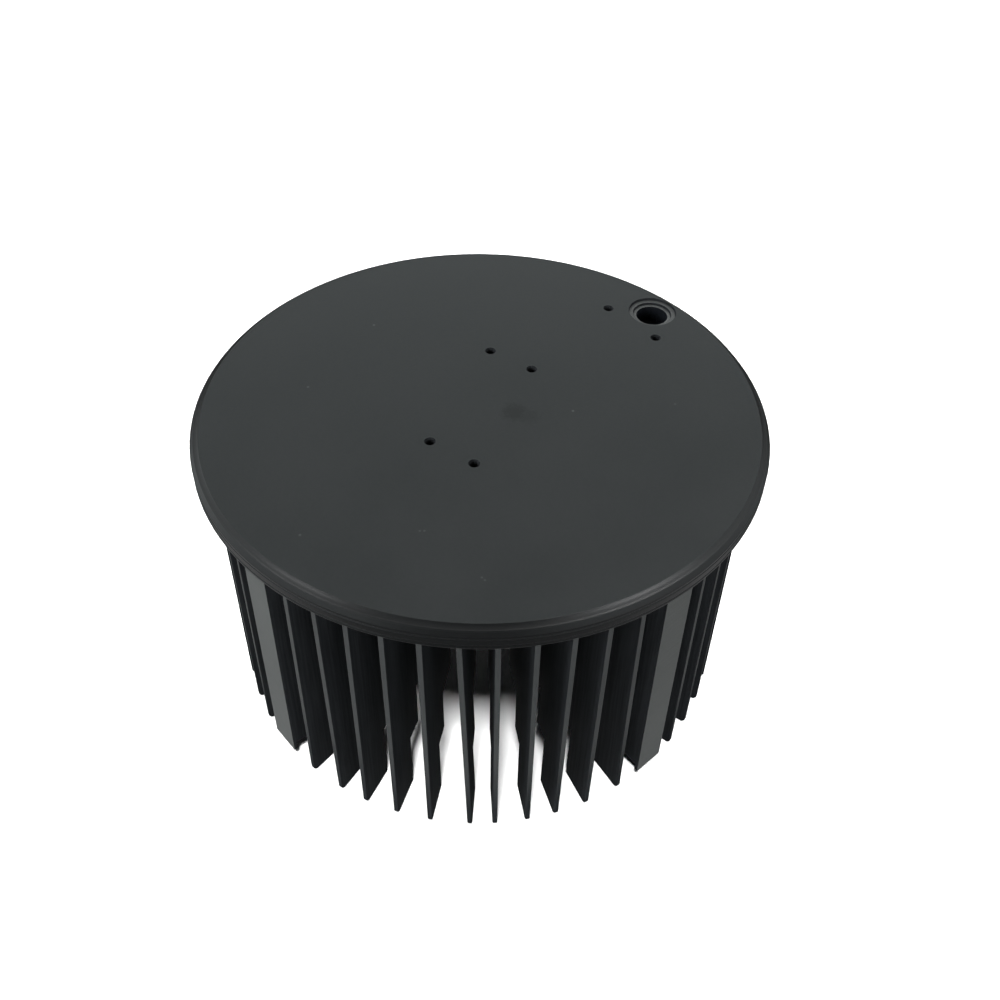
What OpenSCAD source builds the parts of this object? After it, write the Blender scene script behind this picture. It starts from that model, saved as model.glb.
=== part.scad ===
// Round LED heat sink: one forged, turned and drilled piece of aluminium.
// A bevelled plate sits on top of a ring of upright radial blade fins and stands on their tips.
// z = 0 is the plane of the fin tips and the plate's face is at the top.
// The lead hole is on +Y and a wide rib stands on each of +X, +Y, -X and -Y.

/* [Plate] */
// Outer diameter of the plate
plate_d = 160; // [158:1:172]
// Height of the plate's face above the fin tips
height = 92.5; // [84:0.5:110]
// Thickness of the plate
plate_t = 6.5; // [6.5:0.5:10]
// Width of the turned border round the face, seen from above
border_w = 2.5; // [2.2:0.1:3]
// Width of the edge break at the inside of the border
break_w = 0.6; // [0.2:0.1:0.8]
// Drop from the face to the lower edge of the bevel
bevel_h = 0.9; // [0.9:0.1:1.3]
// Width of the steep shoulder between the bevel and the rim, seen from above
shoulder_w = 1; // [0.4:0.1:1.2]
// Height of the shoulder
shoulder_h = 1.3; // [0.8:0.1:1.4]
// Depth of the fine V grooves turned into the rim
groove_d = 0.25; // [0.1:0.05:0.4]
// Width of each groove in the rim
groove_w = 0.5; // [0.3:0.1:0.6]
// Distance from one rim groove to the next
groove_pitch = 2.1; // [1.8:0.1:2.1]

/* [Fins] */
// Radius of the fins' outer edges
fin_r = 75.5; // [74:0.5:76]
// Fins in each quarter, between two wide ribs
fins_per_quarter = 11; // [7:1:13]
// Clear angle between a wide rib and the next fin
rib_gap = 9; // [8.5:0.5:10]
// Fin thickness at the plate
fin_root_t = 1.5; // [1.4:0.1:2.2]
// Fin thickness at the tip
fin_tip_t = 1.3; // [1.2:0.1:1.4]
// Radius that rounds the outer corner of a fin tip
tip_round = 1.6; // [0.5:0.1:3]
// Radius of the hollow at the fin tips
foot_r = 64; // [63:0.5:67]
// Height of the hollow's first step
foot_z = 21.5; // [12:0.5:24]
// Radius of the hollow above its first step
mid_r = 58; // [54:0.5:61]
// Height of the hollow's second step
mid_z = 37.5; // [28:0.5:44]
// Radius of the hollow above its second step, up to the plate
inner_r = 48; // [44:0.5:53]
// How far the fins are bent: 1 as handled, 0 dead straight
bend_scale = 1; // [0:0.1:1]

/* [Ribs] */
// Thickness of the wide ribs at the plate
rib_root_t = 9.7; // [8:0.1:10.2]
// Thickness of the wide ribs at the tip
rib_tip_t = 9.5; // [7.5:0.1:10]
// Radius of the wide ribs' outer faces
rib_r = 76; // [74.5:0.5:76.5]
// Height of the ribs' ends above the plane of the fin tips
rib_low = 3; // [0:0.5:4]
// Thickness of the lip at a rib's end
rib_lip_t = 1; // [0.8:0.1:3]
// How far the rest of a rib's end is set back from its lip
rib_set_back = 3; // [1.5:0.5:8]

/* [Light source holes] */
// Distance between the two holes of the wide pair
wide_pair = 49; // [44:0.5:52]
// Angle of the wide pair from +X
wide_angle = 134; // [120:0.5:150]
// Distance between the two holes of the narrow pair
narrow_pair = 42.5; // [36:0.5:48]
// Angle of the narrow pair from +X
narrow_angle = 97.5; // [80:0.5:105]
// Diameter of the small tapped holes in the face
hole_d = 3; // [2.5:0.1:3.5]
// Depth of the light source holes
hole_depth = 5; // [3:0.5:5]

/* [Lead hole] */
// Distance of the lead hole from the plate's centre
lead_r = 69.8; // [68:0.2:70.2]
// Diameter of the lead hole
lead_d = 9.6; // [6:0.2:9.6]
// Diameter of the shallow counterbore round the lead hole
lead_seat_d = 14.6; // [13:0.2:15]
// Diameter of the inner ring in the counterbore
lead_ring_d = 11.8; // [10.6:0.2:12.2]
// Depth of each of the two steps of the counterbore
lead_step = 0.8; // [0.3:0.1:1]
// Height of the way from the hollow to the lead hole, cut in the rib under it
lead_notch_h = 12; // [8:1:20]
// Distance between the two screw holes beside the lead hole
clip_spacing = 20; // [18:0.5:22]
// Distance of the two screw holes' line from the plate's centre
clip_y = 60.4; // [58:0.2:61]
// Depth of the two screw holes
clip_depth = 5; // [3:0.5:5]

/* [Hidden] */
$fn = 96;
eps = 0.5;
plate_r = plate_d / 2;
under = height - plate_t;            // underside of the plate
bite = 2;                            // how far fins run into the plate
fin_pitch = (90 - 2 * rib_gap) / (fins_per_quarter - 1);
drill_cone = 0.6;                    // cone height of a drilled bottom, per radius
fin_nose = fin_tip_t / 2 - 0.1;      // radius along both sides of a fin's end, nearly a full round
fin_point = fin_root_t / 2 + 0.1;    // radius across the outer corner of a fin's end
reach = 150;                         // longer than any blade
rib_nose = 0.5;                      // the same on a rib's end
rib_round = 0.6;                     // radius of the outer corner of a rib's end
lead_past = 0.5;                     // how far the way in the rib runs past the lead hole's axis
// Lean of the fins in one quarter, in degrees, and how much of it each quarter has
bend = [0, 0.85, 0.2, 0.35, 0.65, 1.9, 0.3, 0.2, -0.5, -0.5, 0.45];
quarter_bend = [1, -0.2, 0.4, -0.3];

heat_sink();

// ---- the piece ----

module heat_sink() {
    color("#26292b")
    difference() {
        union() {
            plate();
            fins();
            ribs();
        }
        light_source_holes();
        lead_hole();
        clip_holes();
    }
}

// ---- turned plate ----

// Round plate with an edge break, a bevel and a shoulder round its face, and two fine grooves in its rim
module plate() {
    rotate_extrude()
    difference() {
        polygon([
            [0, under],
            [plate_r - 0.4, under],
            [plate_r, under + 0.4],
            [plate_r, height - bevel_h - shoulder_h],
            [plate_r - shoulder_w, height - bevel_h],
            [plate_r - border_w + break_w, height - break_w],
            [plate_r - border_w, height],
            [0, height]
        ]);
        for (i = [1, 2])
            translate([plate_r, height - bevel_h - 0.1 - groove_pitch * i])
                polygon([
                    [-groove_d, 0],
                    [0, groove_w / 2],
                    [eps, groove_w / 2],
                    [eps, -groove_w / 2],
                    [0, -groove_w / 2]
                ]);
    }
}

// ---- fins and ribs ----

// Side view of a fin or rib: x is the radius, y is the height
module blade_profile(r, corner, low) {
    difference() {
        polygon([
            [inner_r, mid_z],
            [mid_r, mid_z],
            [mid_r, foot_z],
            [foot_r, foot_z],
            [foot_r, low],
            [r, low],
            [r, under + bite],
            [inner_r, under + bite]
        ]);
        difference() {
            translate([r - corner, low - eps]) square([corner + eps, corner + eps]);
            translate([r - corner, low + corner]) circle(r = corner, $fn = 32);
        }
    }
}

// End view of a fin or rib: x is across the thickness, y is the height
module blade_section(root_t, tip_t, nose, low) {
    polygon([
        [-tip_t / 2, low + nose],
        [tip_t / 2, low + nose],
        [root_t / 2, under + bite],
        [-root_t / 2, under + bite]
    ]);
    translate([nose - tip_t / 2, low]) square([tip_t - 2 * nose, nose + eps]);
    for (side = [-1, 1])
        translate([side * (tip_t / 2 - nose), low + nose]) circle(r = nose, $fn = 32);
}

// One upright blade along +X, cut to its profile and tapered across its thickness
module blade(r, root_t, tip_t, nose, corner, low) {
    intersection() {
        rotate([90, 0, 0])
            translate([0, 0, -root_t])
                linear_extrude(height = 2 * root_t)
                    blade_profile(r, corner, low);
        rotate([90, 0, 90])
            linear_extrude(height = r + eps)
                blade_section(root_t, tip_t, nose, low);
    }
}

// A thin fin, its outer corner worn round across the thickness as well
module fin() {
    intersection() {
        blade(fin_r, fin_root_t, fin_tip_t, fin_nose, tip_round, 0);
        translate([fin_r - tip_round * (1 - sqrt(0.5)), 0, tip_round * (1 - sqrt(0.5))])
            rotate([0, -45, 0])
                rotate([90, 0, 90])
                    translate([0, 0, -reach / 2])
                        linear_extrude(height = reach) {
                            translate([0, fin_point]) circle(r = fin_point, $fn = 32);
                            translate([-fin_point, fin_point]) square([2 * fin_point, reach]);
                        }
    }
}

// All the thin fins, each leaning about its root where it was bent
module fins() {
    for (q = [0 : 3])
        for (j = [0 : fins_per_quarter - 1])
            rotate([0, 0, 90 * q - 90 + rib_gap + fin_pitch * j])
                translate([0, 0, under])
                    rotate([bend_scale * bend[j % len(bend)] * quarter_bend[q], 0, 0])
                        translate([0, 0, -under])
                            fin();
}

// Four wide ribs with set-back ends; the one under the lead hole is cut away behind it, toward the hollow
module ribs() {
    difference() {
        for (q = [0 : 3])
            rotate([0, 0, 90 * q])
                blade(rib_r, rib_root_t, rib_tip_t, rib_nose, rib_round, rib_low);
        for (q = [0 : 3])
            rotate([0, 0, 90 * q])
                translate([foot_r - 5, -rib_tip_t, -eps])
                    cube([rib_r - rib_lip_t - foot_r + 5, 2 * rib_tip_t, rib_low + rib_set_back + eps]);
        translate([-rib_root_t, inner_r - eps, under - lead_notch_h])
            cube([2 * rib_root_t, lead_r + lead_past - inner_r + eps, lead_notch_h]);
    }
}

// ---- holes ----

// A drilled blind hole that opens upward at z = 0
module drilled(d, depth) {
    translate([0, 0, -depth]) cylinder(d = d, h = depth + eps, $fn = 48);
    translate([0, 0, -depth - drill_cone * d / 2])
        cylinder(d1 = 0, d2 = d, h = drill_cone * d / 2, $fn = 48);
}

// Two diagonal pairs of tapped holes for the light source
module light_source_holes() {
    for (pair = [[wide_pair, wide_angle], [narrow_pair, narrow_angle]])
        for (side = [-1, 1])
            rotate([0, 0, pair[1]])
                translate([side * pair[0] / 2, 0, height])
                    drilled(hole_d, hole_depth);
}

// Stepped hole for the lead, through the plate near the rim
module lead_hole() {
    translate([0, lead_r, 0]) {
        translate([0, 0, under]) cylinder(d = lead_d, h = plate_t + eps);
        translate([0, 0, height - 2 * lead_step]) cylinder(d = lead_ring_d, h = 2);
        translate([0, 0, height - lead_step]) cylinder(d = lead_seat_d, h = 2);
    }
}

// Two tapped holes beside the lead hole
module clip_holes() {
    for (side = [-1, 1])
        translate([side * clip_spacing / 2, clip_y, height])
            drilled(hole_d, clip_depth);
}
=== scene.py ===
import math

import bmesh
import bpy
from mathutils import Matrix, Vector


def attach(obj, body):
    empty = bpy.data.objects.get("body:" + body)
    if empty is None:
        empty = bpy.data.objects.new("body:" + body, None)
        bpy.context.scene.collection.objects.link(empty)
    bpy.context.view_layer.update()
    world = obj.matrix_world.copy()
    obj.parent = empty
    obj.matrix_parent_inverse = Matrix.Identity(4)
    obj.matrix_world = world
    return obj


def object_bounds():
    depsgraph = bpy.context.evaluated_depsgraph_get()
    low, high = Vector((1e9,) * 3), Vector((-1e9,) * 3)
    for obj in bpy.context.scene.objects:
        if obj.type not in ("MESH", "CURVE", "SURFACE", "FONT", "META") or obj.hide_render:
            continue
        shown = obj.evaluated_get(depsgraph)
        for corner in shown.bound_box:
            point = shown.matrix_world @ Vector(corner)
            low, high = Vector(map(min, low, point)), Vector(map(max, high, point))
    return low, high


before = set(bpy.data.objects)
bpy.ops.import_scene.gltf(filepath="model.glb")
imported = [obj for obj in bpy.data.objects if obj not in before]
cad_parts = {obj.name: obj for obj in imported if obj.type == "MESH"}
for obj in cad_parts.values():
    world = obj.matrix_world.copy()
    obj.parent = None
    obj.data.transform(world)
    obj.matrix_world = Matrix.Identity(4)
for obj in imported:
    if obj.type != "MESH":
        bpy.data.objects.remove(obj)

cad_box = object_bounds()
scene = bpy.context.scene
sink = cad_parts["heat_sink"]
FACE_Z = cad_box[1][2]

# ---------------------------------------------------------------- camera
# Fitted to the photograph's rim, fin edges, fin tips and holes; millimetres from the middle of the plate's face.
FOCAL_PX, CENTRE_PX = 1099.7, (519.5, 425.4)
PITCH, ROLL, TURN = math.radians(41.09), math.radians(2.34), math.radians(46.37)
CAM_MM = (10.49, -235.37, 197.77)

turn = Matrix.Rotation(TURN, 3, "Z")
ahead = turn @ Vector((0, math.cos(PITCH), -math.sin(PITCH)))
over = turn @ Vector((0, math.sin(PITCH), math.cos(PITCH)))
side = turn @ Vector((1, 0, 0))
right = side * math.cos(ROLL) + over * math.sin(ROLL)
up = over * math.cos(ROLL) - side * math.sin(ROLL)

cam_data = bpy.data.cameras.new("camera")
cam_data.sensor_fit = "HORIZONTAL"
cam_data.sensor_width = 36.0
cam_data.lens = FOCAL_PX / 1000.0 * 36.0
cam_data.shift_x = (500.0 - CENTRE_PX[0]) / 1000.0
cam_data.shift_y = (CENTRE_PX[1] - 500.0) / 1000.0
cam_data.clip_start, cam_data.clip_end = 0.01, 20.0
cam = bpy.data.objects.new("camera", cam_data)
scene.collection.objects.link(cam)
place = turn @ Vector(CAM_MM) / 1000.0 + Vector((0, 0, FACE_Z))
cam.matrix_world = Matrix((
    (right.x, up.x, -ahead.x, place.x),
    (right.y, up.y, -ahead.y, place.y),
    (right.z, up.z, -ahead.z, place.z),
    (0, 0, 0, 1),
))
scene.camera = cam


# ---------------------------------------------------------------- node helpers
class Nodes:
    """Short calls for building a shader tree."""

    def __init__(self, tree):
        self.tree = tree
        tree.nodes.clear()

    def add(self, kind, **props):
        n = self.tree.nodes.new(kind)
        for k, v in props.items():
            setattr(n, k, v)
        return n

    def link(self, a, b):
        self.tree.links.new(a, b)

    def put(self, socket, value):
        if isinstance(value, bpy.types.NodeSocket):
            self.link(value, socket)
        else:
            socket.default_value = value

    def math(self, op, a, b=0.0, c=0.0, clamp=False):
        n = self.add("ShaderNodeMath", operation=op, use_clamp=clamp)
        for i, v in enumerate((a, b, c)):
            if i < len(n.inputs):
                self.put(n.inputs[i], v)
        return n.outputs[0]

    def vmath(self, op, a, b=(0, 0, 0)):
        n = self.add("ShaderNodeVectorMath", operation=op)
        self.put(n.inputs[0], a)
        if len(n.inputs) > 1:
            self.put(n.inputs[1], b)
        return n.outputs["Value"] if op in ("LENGTH", "DOT_PRODUCT", "DISTANCE") else n.outputs["Vector"]

    def split(self, vector):
        n = self.add("ShaderNodeSeparateXYZ")
        self.put(n.inputs[0], vector)
        return n.outputs

    def join(self, x, y, z):
        n = self.add("ShaderNodeCombineXYZ")
        for i, v in enumerate((x, y, z)):
            self.put(n.inputs[i], v)
        return n.outputs[0]

    def noise(self, vector, scale, detail=2.0, rough=0.5):
        n = self.add("ShaderNodeTexNoise")
        self.put(n.inputs["Vector"], vector)
        n.inputs["Scale"].default_value = scale
        n.inputs["Detail"].default_value = detail
        n.inputs["Roughness"].default_value = rough
        return n.outputs["Fac"]

    def ramp(self, value, lo, hi, out_lo=0.0, out_hi=1.0, smooth=True):
        n = self.add("ShaderNodeMapRange", interpolation_type="SMOOTHSTEP" if smooth else "LINEAR")
        self.put(n.inputs["Value"], value)
        for name, v in (("From Min", lo), ("From Max", hi), ("To Min", out_lo), ("To Max", out_hi)):
            self.put(n.inputs[name], v)
        return n.outputs["Result"]

    def mix(self, fac, a, b):
        n = self.add("ShaderNodeMix", data_type="RGBA")
        self.put(n.inputs[0], fac)
        self.put(n.inputs[6], a)
        self.put(n.inputs[7], b)
        return n.outputs[2]

    def blend(self, fac, a, b):
        n = self.add("ShaderNodeMix", data_type="FLOAT")
        self.put(n.inputs[0], fac)
        self.put(n.inputs[2], a)
        self.put(n.inputs[3], b)
        return n.outputs[0]

    def product(self, *factors):
        total = factors[0]
        for f in factors[1:]:
            total = self.math("MULTIPLY", total, f)
        return total

    def most(self, *values):
        total = values[0]
        for v in values[1:]:
            total = self.math("MAXIMUM", total, v)
        return total


# ---------------------------------------------------------------- small edges
def ease_edges(ob, width):
    """Flattens the tessellation and rounds every sharp edge a little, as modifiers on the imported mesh."""
    weld = ob.modifiers.new("weld", "WELD")
    weld.merge_threshold = 1e-6
    flat = ob.modifiers.new("flat", "DECIMATE")
    flat.decimate_type = "DISSOLVE"
    flat.angle_limit = math.radians(0.5)
    group = bpy.data.node_groups.new("shade_smooth", "GeometryNodeTree")
    group.interface.new_socket(name="Geometry", in_out="INPUT", socket_type="NodeSocketGeometry")
    group.interface.new_socket(name="Geometry", in_out="OUTPUT", socket_type="NodeSocketGeometry")
    a, b = group.nodes.new("NodeGroupInput"), group.nodes.new("NodeGroupOutput")
    s = group.nodes.new("GeometryNodeSetShadeSmooth")
    s.inputs["Shade Smooth"].default_value = True
    group.links.new(a.outputs[0], s.inputs["Geometry"])
    group.links.new(s.outputs["Geometry"], b.inputs[0])
    ob.modifiers.new("smooth", "NODES").node_group = group
    edge = ob.modifiers.new("edge", "BEVEL")
    edge.width = width
    edge.segments = 2
    edge.limit_method = "ANGLE"
    edge.angle_limit = math.radians(32)
    edge.use_clamp_overlap = False
    edge.miter_outer = "MITER_SHARP"
    even = ob.modifiers.new("even", "WEIGHTED_NORMAL")
    even.mode = "FACE_AREA"
    even.weight = 50
    even.keep_sharp = False


ease_edges(sink, 0.00012)


# ---------------------------------------------------------------- anodised aluminium
# Dust specks, scuffs and a rubbed spot on the face: place in mm, radius in mm, how strong.
SPECKS = [
    (-49.4, -1.1, 0.55, 0.9), (-37.3, -33.0, 0.5, 0.7), (18.5, 17.2, 0.55, 0.9),
    (9.1, -66.5, 0.5, 0.6), (34.9, 41.4, 0.5, 0.4), (26.9, -43.5, 0.45, 0.5),
    (27.6, -42.6, 0.45, 0.5), (48.2, -41.7, 0.4, 0.5), (49.3, -41.7, 0.4, 0.5),
]
RUBS = [(8.3, 4.3, 5.0, 0.8), (12.0, 6.0, 4.5, 0.4)]


def anodised():
    mat = bpy.data.materials.new("black_anodised")
    mat.use_nodes = True
    n = Nodes(mat.node_tree)
    out = n.add("ShaderNodeOutputMaterial")
    bsdf = n.add("ShaderNodeBsdfPrincipled")
    n.link(bsdf.outputs["BSDF"], out.inputs["Surface"])
    where = n.add("ShaderNodeTexCoord").outputs["Object"]
    x, y, z = n.split(where)
    radius = n.math("SQRT", n.math("ADD", n.math("MULTIPLY", x, x), n.math("MULTIPLY", y, y)))
    nx, ny, nz = n.split(n.add("ShaderNodeNewGeometry").outputs["Normal"])
    outward = n.math("DIVIDE", n.math("ADD", n.math("MULTIPLY", x, nx), n.math("MULTIPLY", y, ny)), radius)

    # where each finish is: the blasted face, the turned rim and bevel, the turned edges of fins and of ribs
    rim = n.ramp(radius, 0.0768, 0.0772)
    sunk = n.product(n.ramp(z, FACE_Z - 0.0019, FACE_Z - 0.0017), n.math("SUBTRACT", 1.0, rim))
    face = n.product(n.ramp(nz, 0.955, 0.99), n.most(sunk, n.ramp(z, FACE_Z - 0.0006, FACE_Z - 0.0003)))
    seat = n.product(face, n.ramp(z, FACE_Z - 0.0006, FACE_Z - 0.0007))
    off_lead = n.vmath("DISTANCE", n.join(x, y, 0.0), (0.0, 0.0698, 0.0))
    bore = n.product(n.ramp(off_lead, 0.00505, 0.0049), n.ramp(z, FACE_Z - 0.0016, FACE_Z - 0.0018))
    skin = n.product(n.ramp(radius, 0.0746, 0.0752), n.ramp(z, FACE_Z - 0.0066, FACE_Z - 0.0070), n.ramp(outward, 0.45, 0.95))
    on_rib = n.ramp(n.math("MINIMUM", n.math("ABSOLUTE", x), n.math("ABSOLUTE", y)), 0.0060, 0.0055)
    rib_skin = n.math("MULTIPLY", skin, on_rib)
    # the fins' turned strips fade into the side tone towards the tips, over the lowest 36 mm
    fin_skin = n.product(skin, n.math("SUBTRACT", 1.0, on_rib), n.ramp(z, 0.003, 0.036))

    # grain: fine blasting everywhere, drawn streaks down the fins, lathe lines round the turned parts
    fine = n.noise(where, 3800.0, 2.0, 0.6)
    grain = n.noise(where, 1100.0, 3.0, 0.6)
    broad = n.noise(where, 24.0, 4.0, 0.55)
    streak = n.noise(n.join(n.math("MULTIPLY", x, 1500.0), n.math("MULTIPLY", y, 1500.0), n.math("MULTIPLY", z, 40.0)), 1.0, 3.0, 0.6)
    lathe = n.noise(n.join(n.math("MULTIPLY", radius, 5200.0), n.math("MULTIPLY", z, 5200.0), 0.0), 1.0, 2.0, 0.5)

    side_tone = n.mix(n.ramp(streak, 0.3, 0.7), (0.0068, 0.0076, 0.0084, 1), (0.0120, 0.0132, 0.0144, 1))
    face_tone = n.mix(n.ramp(n.math("ADD", n.math("MULTIPLY", grain, 0.5), n.math("MULTIPLY", broad, 0.5)), 0.35, 0.65),
                      (0.0047, 0.0060, 0.0062, 1), (0.0060, 0.0072, 0.0074, 1))
    rim_tone = n.mix(n.ramp(lathe, 0.3, 0.7), (0.0010, 0.0012, 0.0013, 1), (0.0026, 0.0030, 0.0032, 1))
    turned_tone = n.mix(n.ramp(n.math("ADD", n.math("MULTIPLY", lathe, 0.5), n.math("MULTIPLY", broad, 0.5)), 0.35, 0.65),
                        (0.0318, 0.0342, 0.0338, 1), (0.0449, 0.0479, 0.0472, 1))

    # counterbore rings round the lead hole: a paler turned finish that also carries painted sheen
    seat_tone_and_sheen = n.mix(n.ramp(lathe, 0.3, 0.7), (0.040, 0.043, 0.0425, 1), (0.062, 0.066, 0.065, 1))
    # painted shade: the lead hole's bore wall is painted dark and bluish so the deep hole reads dark, with lathe lines
    bore_shade_tone = n.mix(n.ramp(lathe, 0.3, 0.7), (0.0030, 0.0036, 0.0046, 1), (0.0060, 0.0070, 0.0088, 1))

    # specks are a little paler than the face, the rubbed spot a little darker
    flat = n.join(x, y, 0.0)
    dust = None
    for px, py, size, strength in SPECKS:
        away = n.vmath("DISTANCE", flat, (px / 1000.0, py / 1000.0, 0.0))
        spot = n.math("MULTIPLY", n.ramp(away, size / 1000.0, size / 3000.0), strength)
        dust = spot if dust is None else n.most(dust, spot)
    worn = None
    for px, py, size, strength in RUBS:
        away = n.vmath("DISTANCE", flat, (px / 1000.0, py / 1000.0, 0.0))
        spot = n.math("MULTIPLY", n.ramp(n.math("ADD", away, n.ramp(grain, 0.3, 0.7, -0.0007, 0.0007)), size / 1000.0, size / 4000.0), strength)
        worn = spot if worn is None else n.most(worn, spot)
    face_tone = n.mix(n.math("MULTIPLY", worn, 0.70), face_tone, (0.0035, 0.0042, 0.0042, 1))
    face_tone = n.mix(n.math("MULTIPLY", dust, 0.35), face_tone, (0.075, 0.080, 0.080, 1))

    tone = n.mix(face, n.mix(rim, side_tone, rim_tone), face_tone)
    # the rings take their paler turned tone and painted sheen, fully on the deeper ring and at 60% on the upper one
    tone = n.mix(n.math("MULTIPLY", seat, n.ramp(z, FACE_Z - 0.0010, FACE_Z - 0.0014, 0.6, 1.0)), tone, seat_tone_and_sheen)
    # painted shade in the lead hole's bore
    tone = n.mix(bore, tone, bore_shade_tone)
    tone = n.mix(n.math("MULTIPLY", fin_skin, 0.45), tone, turned_tone)
    tone = n.mix(rib_skin, tone, turned_tone)
    n.put(bsdf.inputs["Base Color"], tone)

    turned = n.most(rib_skin, fin_skin)
    rough = n.blend(turned, n.blend(face, n.blend(rim, 0.60, 0.34), 0.47), 0.48)
    n.put(bsdf.inputs["Roughness"], n.math("ADD", rough, n.ramp(broad, 0.3, 0.7, -0.03, 0.03)))
    gloss = n.blend(n.product(face, worn), 0.20, 0.145)
    n.put(bsdf.inputs["Specular IOR Level"], n.blend(n.most(face, rim), n.blend(turned, 0.015, 0.10), gloss))

    lines = n.math("MULTIPLY", lathe, n.math("MAXIMUM", turned, rim))
    marks = n.math("MULTIPLY", streak, n.math("SUBTRACT", 1.0, n.most(face, turned, rim)))
    height = n.math("ADD", n.math("ADD", n.math("MULTIPLY", fine, 0.6), n.math("MULTIPLY", grain, 0.6)),
                    n.math("ADD", n.math("MULTIPLY", lines, 0.5), n.math("MULTIPLY", marks, 0.8)))
    bump = n.add("ShaderNodeBump")
    bump.inputs["Strength"].default_value = 0.35
    bump.inputs["Distance"].default_value = 0.00004
    n.link(height, bump.inputs["Height"])
    n.link(bump.outputs["Normal"], bsdf.inputs["Normal"])
    return mat


finish = anodised()
sink.data.materials.clear()
sink.data.materials.append(finish)


# ---------------------------------------------------------------- threads in the small holes
# M3 x 0.5: a ridge that winds down each tapped hole, from its wall in to the minor diameter.
HOLE_R, MINOR_R, PITCH_M, DEPTH, SEGMENTS = 0.0015, 0.00123, 0.0005, 0.0048, 28


def thread_mesh(places):
    bm = bmesh.new()
    root = HOLE_R + 0.00003
    turns = int(DEPTH / PITCH_M)
    steps = turns * SEGMENTS
    for cx, cy in places:
        rings = []
        for i in range(steps + 1):
            a = 2 * math.pi * i / SEGMENTS
            fade = min(1.0, i / (0.6 * SEGMENTS), (steps - i) / (0.6 * SEGMENTS))
            crest = root - (root - MINOR_R) * max(fade, 0.02)
            mid = FACE_Z - 0.00045 - PITCH_M * i / SEGMENTS
            ring = []
            for r, dz in ((root, 0.00023), (crest, 0.00004), (crest, -0.00004), (root, -0.00023)):
                ring.append(bm.verts.new((cx + r * math.cos(a), cy + r * math.sin(a), mid + dz)))
            rings.append(ring)
        for one, two in zip(rings, rings[1:]):
            for j in range(4):
                k = (j + 1) % 4
                bm.faces.new((one[j], one[k], two[k], two[j]))
        bm.faces.new(rings[0][::-1])
        bm.faces.new(rings[-1])
    bmesh.ops.recalc_face_normals(bm, faces=bm.faces)
    mesh = bpy.data.meshes.new("hole_threads")
    bm.to_mesh(mesh)
    bm.free()
    return mesh


# the pair beside the lead hole, then the two diagonal pairs: distance apart and angle from +X
holes = [(-0.010, 0.0604), (0.010, 0.0604)]
for apart, angle in ((0.0490, math.radians(134.0)), (0.0425, math.radians(97.5))):
    for way in (-0.5, 0.5):
        holes.append((way * apart * math.cos(angle), way * apart * math.sin(angle)))
threads = bpy.data.objects.new("hole_threads", thread_mesh(holes))
scene.collection.objects.link(threads)
threads.data.materials.append(finish)
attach(threads, "root")


# ---------------------------------------------------------------- floor and light
def floor_material():
    mat = bpy.data.materials.new("pale_floor")
    mat.use_nodes = True
    n = Nodes(mat.node_tree)
    out = n.add("ShaderNodeOutputMaterial")
    bsdf = n.add("ShaderNodeBsdfPrincipled")
    n.link(bsdf.outputs["BSDF"], out.inputs["Surface"])
    where = n.add("ShaderNodeTexCoord").outputs["Object"]
    grain = n.noise(where, 900.0, 2.0)
    n.put(bsdf.inputs["Base Color"], n.mix(grain, (0.86, 0.86, 0.86, 1), (0.9, 0.9, 0.9, 1)))
    bsdf.inputs["Roughness"].default_value = 0.8
    bsdf.inputs["Specular IOR Level"].default_value = 0.2
    return mat


floor_mesh = bpy.data.meshes.new("floor")
ring = [(1.5 * math.cos(math.radians(5 * i)), 1.5 * math.sin(math.radians(5 * i)), 0) for i in range(72)]
floor_mesh.from_pydata(ring, [], [tuple(range(72))])
floor = bpy.data.objects.new("floor", floor_mesh)
floor.location.z = -0.0002
scene.collection.objects.link(floor)
floor_mesh.materials.append(floor_material())



def backdrop_material():
    mat = bpy.data.materials.new("pale_backdrop")
    mat.use_nodes = True
    n = Nodes(mat.node_tree)
    out = n.add("ShaderNodeOutputMaterial")
    glow = n.add("ShaderNodeEmission")
    n.link(glow.outputs["Emission"], out.inputs["Surface"])
    where = n.add("ShaderNodeTexCoord").outputs["Object"]
    n.put(glow.inputs["Color"], n.mix(n.noise(where, 0.6, 2.0), (0.96, 0.96, 0.96, 1), (1.0, 1.0, 1.0, 1)))
    glow.inputs["Strength"].default_value = 1.0
    return mat


bm = bmesh.new()
bmesh.ops.create_icosphere(bm, subdivisions=4, radius=6.0)
backdrop_mesh = bpy.data.meshes.new("backdrop")
bm.to_mesh(backdrop_mesh)
bm.free()
backdrop = bpy.data.objects.new("backdrop", backdrop_mesh)
scene.collection.objects.link(backdrop)
backdrop_mesh.materials.append(backdrop_material())
backdrop.visible_diffuse = False
backdrop.visible_glossy = False
backdrop.visible_transmission = False
backdrop.visible_shadow = False

# the floor isn't mirrored in the metal: a pale horizon behind, grey sides and dim overhead and below stand in for it
floor.visible_glossy = False
floor.visible_diffuse = False
world = bpy.data.worlds.new("world")
scene.world = world
world.use_nodes = True
wn = Nodes(world.node_tree)
wo = wn.add("ShaderNodeOutputWorld")
wb = wn.add("ShaderNodeBackground")
wx, wy, wz = wn.split(wn.add("ShaderNodeTexCoord").outputs["Generated"])
toward = wn.math("SUBTRACT", wn.math("MULTIPLY", wx, math.sin(TURN)), wn.math("MULTIPLY", wy, math.cos(TURN)))
across = wn.math("ADD", wn.math("MULTIPLY", wx, math.cos(TURN)), wn.math("MULTIPLY", wy, math.sin(TURN)))
above = wn.mix(wn.ramp(wz, 0.40, 0.86), (1.60, 1.69, 1.70, 1), (0.10, 0.10, 0.10, 1))
above = wn.mix(wn.ramp(toward, -0.66, -0.40), above, (0.25, 0.25, 0.25, 1))
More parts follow.
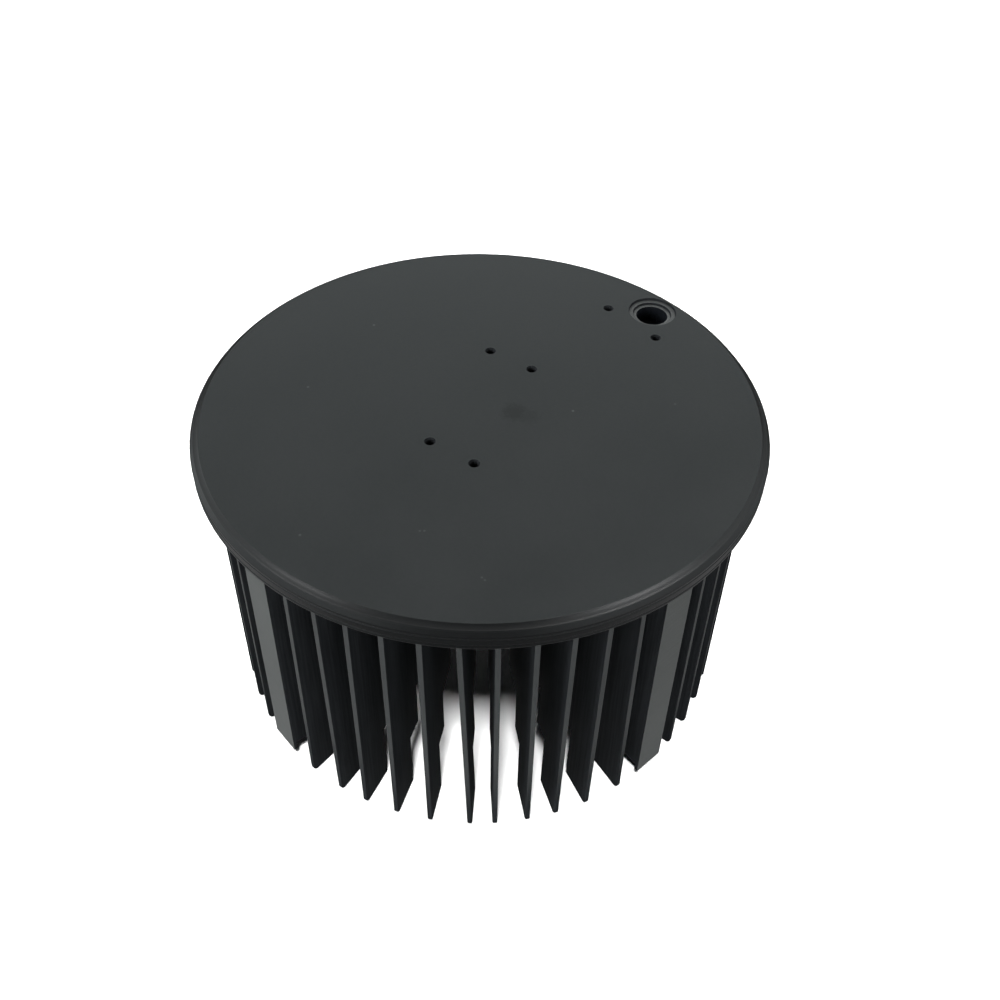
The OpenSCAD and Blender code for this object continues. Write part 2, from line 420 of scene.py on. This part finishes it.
above = wn.mix(wn.ramp(wz, 0.90, 0.97), above, (0.70, 0.70, 0.70, 1))
sides = wn.mix(wn.ramp(across, -0.4, 0.4), (1.64, 1.74, 1.76, 1), (1.06, 1.12, 1.14, 1))
sides = wn.mix(wn.ramp(wz, 0.0, 0.60), sides, (1.76, 1.86, 1.88, 1))
sides = wn.mix(wn.ramp(toward, -0.80, -0.35), wn.mix(wn.ramp(wz, 0.1, 0.4), (0.12, 0.12, 0.12, 1), (0.65, 0.65, 0.65, 1)), sides)
above = wn.mix(wn.ramp(wn.math("ABSOLUTE", across), 0.32, 0.56), above, sides)
below = wn.mix(wn.ramp(toward, 0.10, 0.55), (0.60, 0.60, 0.60, 1), (0.20, 0.20, 0.20, 1))
below = wn.mix(wn.ramp(toward, -0.20, -0.50), below, (0.08, 0.08, 0.08, 1))
level = wn.math("SUBTRACT", wz, wn.ramp(toward, -0.55, -0.80, 0.0, 0.30))
wn.put(wb.inputs["Color"], wn.mix(wn.ramp(level, -0.08, -0.40), above, below))
wb.inputs["Strength"].default_value = 1.0
wn.link(wb.outputs["Background"], wo.inputs["Surface"])
world.cycles_visibility.diffuse = False


def softbox(name, azimuth, elevation, distance, size, power, wide=1.0):
    """A soft light, square or wide, placed by its bearing from the camera's own side of the object."""
    data = bpy.data.lights.new(name, "AREA")
    data.shape = "RECTANGLE"
    data.size = size * wide
    data.size_y = size
    data.energy = power
    ob = bpy.data.objects.new(name, data)
    scene.collection.objects.link(ob)
    a, e = math.radians(azimuth) + TURN - math.pi / 2, math.radians(elevation)
    back = Vector((math.cos(a) * math.cos(e), math.sin(a) * math.cos(e), math.sin(e)))
    ob.location = back * distance + Vector((0, 0, 0.05))
    ob.rotation_mode = "QUATERNION"
    ob.rotation_quaternion = back.to_track_quat("Z", "Y")
    return ob


def light_only(lamp, *objects):
    """Lets a light fall on these objects alone; what stands in its way still shades them."""
    group = bpy.data.collections.new(lamp.name + "_falls_on")
    for ob in objects:
        group.objects.link(ob)
    lamp.light_linking.receiver_collection = group


# the object's own light: a wide low box in front, one from the left, three fills round the other sides,
# and four that are seen only as glints on the turned border
front = softbox("front_box", 4, 14, 1.3, 0.7, 42, 3.4)
key = softbox("key_box", -56, 27, 1.4, 0.45, 23)
right_back = softbox("right_back_box", 111, 67, 1.2, 0.26, 7.5)
left_back = softbox("left_back_box", -112, 62, 1.2, 0.36, 4)
left_glint = softbox("left_glint", -66, 40, 1.3, 0.30, 3.4)
right_glint = softbox("right_glint", 64, 42, 1.3, 0.36, 8.5)
left_fill = softbox("left_fill", -112, 36, 1.3, 0.7, 14, 1.6)
right_fill = softbox("right_fill", 122, 38, 1.3, 0.7, 14, 1.6)
back_fill = softbox("back_fill", 180, 40, 1.3, 0.7, 14, 1.6)
for lamp in (front, key, left_fill, right_fill, back_fill):
    lamp.visible_glossy = False
for lamp in (right_back, left_back, left_glint, right_glint):
    lamp.visible_diffuse = False
for lamp in (front, key, left_fill, right_fill, back_fill, right_back, left_back, left_glint, right_glint):
    light_only(lamp, sink, threads)

# the floor's light comes from the camera's side, so it is white round the object and in through the front gaps;
# three wide boxes soften its shade behind
light_only(softbox("floor_box", -2, 63, 2.5, 0.32, 112), floor)
light_only(softbox("floor_fill_back", 180, 60, 2.5, 1.2, 60), floor)
light_only(softbox("floor_fill_left", -115, 60, 2.5, 1.2, 30), floor)
light_only(softbox("floor_fill_right", 115, 60, 2.5, 1.2, 30), floor)

scene.view_settings.view_transform = "Standard"
scene.view_settings.look = "None"
scene.view_settings.exposure = 0.0
scene.view_settings.gamma = 1.0
